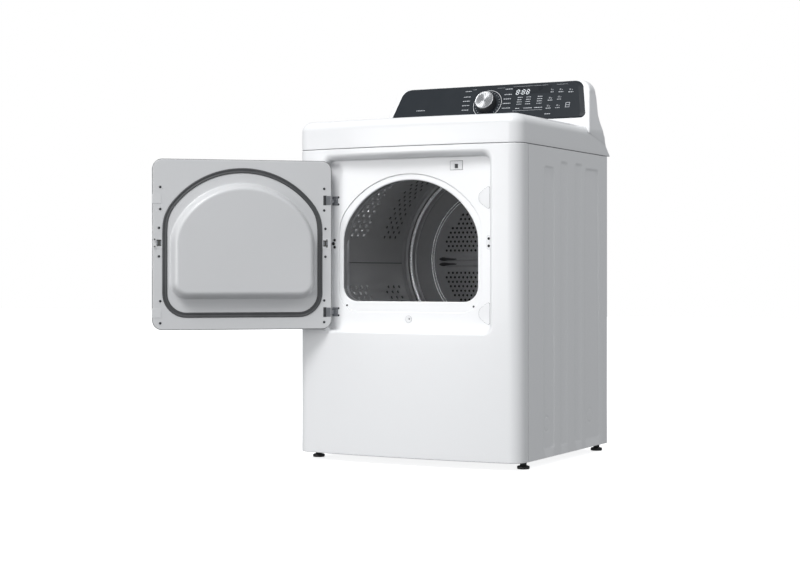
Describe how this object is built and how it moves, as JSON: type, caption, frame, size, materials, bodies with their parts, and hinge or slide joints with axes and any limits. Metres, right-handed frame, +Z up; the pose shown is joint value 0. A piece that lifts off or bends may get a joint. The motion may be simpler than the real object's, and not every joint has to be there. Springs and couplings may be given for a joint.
{
  "type": "clothes dryer",
  "caption": "Front-loading clothes dryer: bowed white cabinet, round-cornered door standing open on a steel drum, sloping dark control console at the back.",
  "frame": {"origin": "on the floor, at the centre of the four feet", "axes": "+Z up; -Y out of the front, where the door is; +X to the right of a person who faces the front"},
  "size_m": [0.9497, 1.0087, 1.09],
  "materials": {
    "white_enamel": "gloss",
    "inner_enamel": "satin",
    "galvanised_steel": "galvanised",
    "drum_steel": "satin",
    "fascia_plastic": "satin",
    "display_lens": "gloss",
    "bright_ring": "polished",
    "knob_face": "satin",
    "dark_plastic": "matt",
    "white_plastic": "satin",
    "grey_plastic": "matt",
    "seal_rubber": "matt",
    "black_rubber": "matt",
    "seal_felt": "felt",
    "glide_nylon": "satin",
    "circuit_board": "satin",
    "motor_paint": "satin",
    "duct_metal": "satin",
    "heater_wire": "matt",
    "hinge_steel": "plated",
    "screw_steel": "dark plated",
    "filter_plastic": "satin",
    "filter_mesh": "mesh",
    "foot_plastic": "matt"
  },
  "bodies": {
    "cabinet": {"base_pan": "galvanised_steel", "left_side_panel": "white_enamel", "right_side_panel": "white_enamel", "rear_panel": "galvanised_steel", "front_panel": "white_enamel", "front_bulkhead": "galvanised_steel", "top_panel": "white_enamel", "console_housing": "white_plastic", "control_fascia": "fascia_plastic", "display_window": "display_lens", "knob_ring": "bright_ring", "control_board": "circuit_board", "rear_bulkhead": "galvanised_steel", "rear_grille": "drum_steel", "drum_seals": "seal_felt", "drum_glides": "glide_nylon", "roller_shafts": "galvanised_steel", "motor_body": "motor_paint", "motor_bracket": "galvanised_steel", "drum_belt": "black_rubber", "blower_housing": "grey_plastic", "lint_duct": "grey_plastic", "lint_filter_housing": "grey_plastic", "exhaust_duct": "duct_metal", "heater_box": "galvanised_steel", "heating_coils": "heater_wire", "moisture_sensor_bars": "hinge_steel", "door_switch_housing": "white_plastic", "catch_plate": "white_plastic", "spare_catch": "dark_plastic", "hinge_hole_covers": "white_plastic", "hinge_frame_leaves": "hinge_steel", "panel_screws": "screw_steel", "terminal_cover": "galvanised_steel", "sill_plug": "white_plastic"},
    "door": {"door_outer_panel": "white_enamel", "door_inner_panel": "inner_enamel", "door_gasket": "seal_rubber", "door_strikes": "screw_steel", "hinge_door_leaves": "hinge_steel", "door_screws": "screw_steel", "door_hinge_blanks": "white_plastic"},
    "drum": {"drum": "drum_steel", "drum_baffles": "grey_plastic"},
    "left_roller": {"left_roller": "black_rubber"},
    "right_roller": {"right_roller": "black_rubber"},
    "rotor": {"motor_shaft": "galvanised_steel", "blower_wheel": "grey_plastic"},
    "idler_arm": {"idler_arm": "galvanised_steel"},
    "idler_pulley": {"idler_pulley": "dark_plastic"},
    "knob": {"knob_cap": "knob_face", "knob_body": "dark_plastic"},
    "lint_filter": {"lint_filter_frame": "filter_plastic", "lint_filter_screen": "filter_mesh"},
    "switch_lever": {"door_switch_lever": "dark_plastic"},
    "foot_front_left": {"foot_front_left": "foot_plastic"},
    "foot_front_right": {"foot_front_right": "foot_plastic"},
    "foot_rear_left": {"foot_rear_left": "foot_plastic"},
    "foot_rear_right": {"foot_rear_right": "foot_plastic"}
  },
  "joints": [
    {"name": "door_hinge", "type": "hinge", "parent": "cabinet", "child": "door", "pos_m": [-0.242, -0.341, 0.57], "axis": [0, 0, 1], "range_deg": [0, 138]},
    {"name": "drum_spin", "type": "hinge", "parent": "cabinet", "child": "drum", "pos_m": [0, -0.042, 0.564], "axis": [0, 1, 0], "continuous": true},
    {"name": "left_roller_spin", "type": "hinge", "parent": "cabinet", "child": "left_roller", "pos_m": [-0.20951, 0.187, 0.29584], "axis": [0, 1, 0], "continuous": true},
    {"name": "right_roller_spin", "type": "hinge", "parent": "cabinet", "child": "right_roller", "pos_m": [0.20951, 0.187, 0.29584], "axis": [0, 1, 0], "continuous": true},
    {"name": "motor_spin", "type": "hinge", "parent": "cabinet", "child": "rotor", "pos_m": [-0.11, -0.092, 0.128], "axis": [0, 1, 0], "continuous": true},
    {"name": "idler_swing", "type": "hinge", "parent": "cabinet", "child": "idler_arm", "pos_m": [-0.215, 0.001, 0.12], "axis": [0, 1, 0], "range_deg": [-10, 0], "stiffness_Nm_per_rad": 5, "springref_deg": 14.32},
    {"name": "idler_spin", "type": "hinge", "parent": "idler_arm", "child": "idler_pulley", "pos_m": [-0.1994, 0.016, 0.2169], "axis": [0, 1, 0], "continuous": true},
    {"name": "knob_turn", "type": "hinge", "parent": "cabinet", "child": "knob", "pos_m": [0, 0.18934, 1.02888], "axis": [0, -0.9063, 0.4226], "continuous": true},
    {"name": "lint_filter_lift", "type": "slide", "parent": "cabinet", "child": "lint_filter", "axis": [0, 0, 1], "range_m": [0, 0.13]},
    {"name": "door_switch_press", "type": "hinge", "parent": "cabinet", "child": "switch_lever", "pos_m": [0.146, -0.316, 0.815], "axis": [1, 0, 0], "range_deg": [0, 12], "stiffness_Nm_per_rad": 0.02, "springref_deg": -11.46},
    {"name": "foot_front_left_adjust", "type": "slide", "parent": "cabinet", "child": "foot_front_left", "axis": [0, 0, -1], "range_m": [0, 0.015]},
    {"name": "foot_front_right_adjust", "type": "slide", "parent": "cabinet", "child": "foot_front_right", "axis": [0, 0, -1], "range_m": [0, 0.015]},
    {"name": "foot_rear_left_adjust", "type": "slide", "parent": "cabinet", "child": "foot_rear_left", "axis": [0, 0, -1], "range_m": [0, 0.015]},
    {"name": "foot_rear_right_adjust", "type": "slide", "parent": "cabinet", "child": "foot_rear_right", "axis": [0, 0, -1], "range_m": [0, 0.015]}
  ],
  "couplings": [
    {"joint": "left_roller_spin", "follows": "drum_spin", "ratio": -7.9474},
    {"joint": "right_roller_spin", "follows": "drum_spin", "ratio": -7.9474},
    {"joint": "motor_spin", "follows": "drum_spin", "ratio": 27.351},
    {"joint": "idler_spin", "follows": "drum_spin", "ratio": -10.323}
  ]
}
